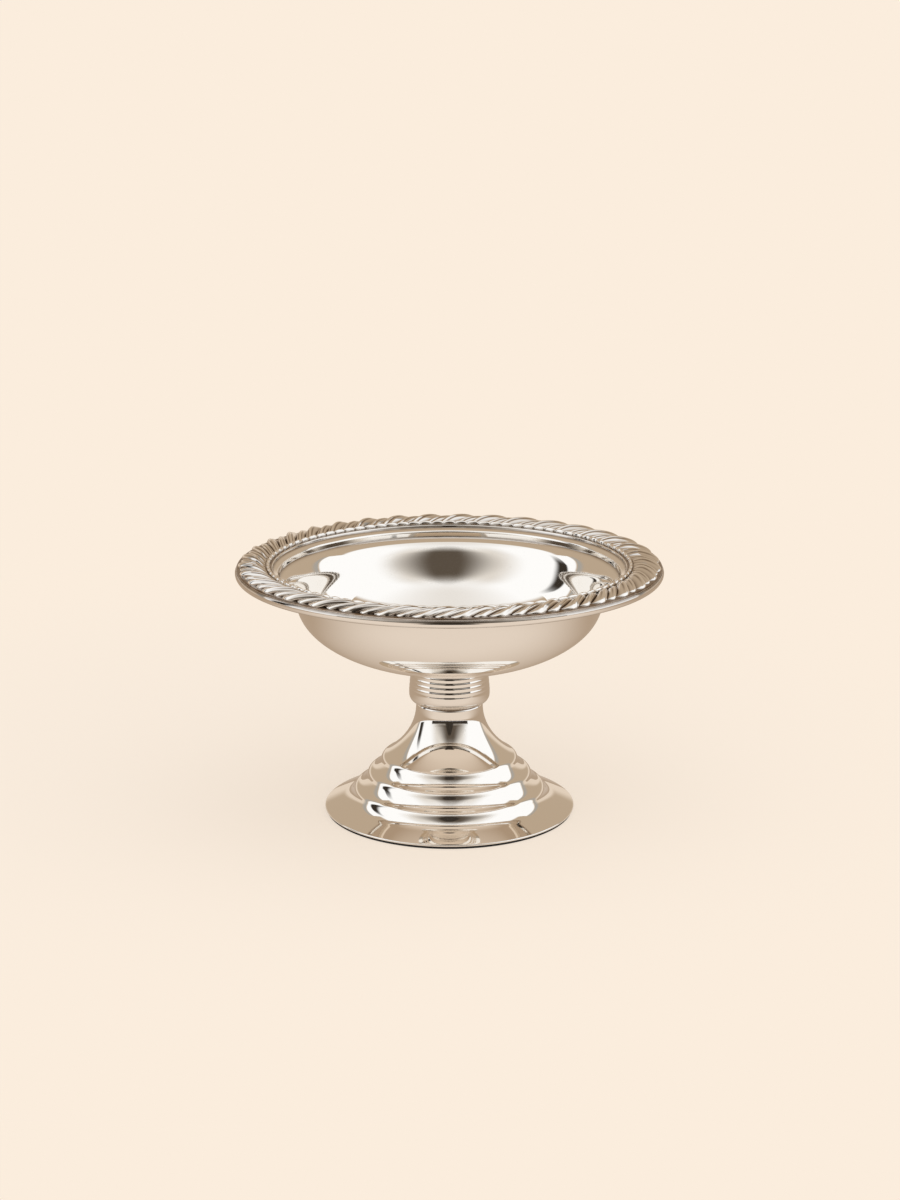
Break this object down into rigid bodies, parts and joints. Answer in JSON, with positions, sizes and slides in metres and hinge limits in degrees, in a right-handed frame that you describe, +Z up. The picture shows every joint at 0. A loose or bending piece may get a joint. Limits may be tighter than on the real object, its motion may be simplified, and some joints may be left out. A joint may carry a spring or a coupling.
{
  "type": "bonbon dish",
  "caption": "Round footed bonbon dish in polished silver, with a slanted gadroon border, a reeded collar and a stepped weighted foot, for serving sweets or nuts.",
  "frame": {"origin": "middle of the underside of the felt pad, on the surface the dish stands on", "axes": "+Z up along the axis of the dish; +X and +Y are across it"},
  "size_m": [0.152, 0.152, 0.0935],
  "materials": {
    "silver": "mirror-polished silver",
    "brass": "turned, unpolished",
    "steel": "plain rolled",
    "plaster": "cast, rough",
    "felt": "pressed black felt"
  },
  "bodies": {
    "root": {"bowl": "silver", "gadroon_border": "silver", "bead_wire": "silver", "rim_wire": "silver", "reeded_collar": "silver", "foot_shell": "silver", "bowl_boss": "brass", "tie_rod": "brass", "clamp_nut": "brass", "clamp_washer": "steel", "base_disc": "steel", "weight_filler": "plaster", "felt_pad": "felt"}
  },
  "joints": []
}
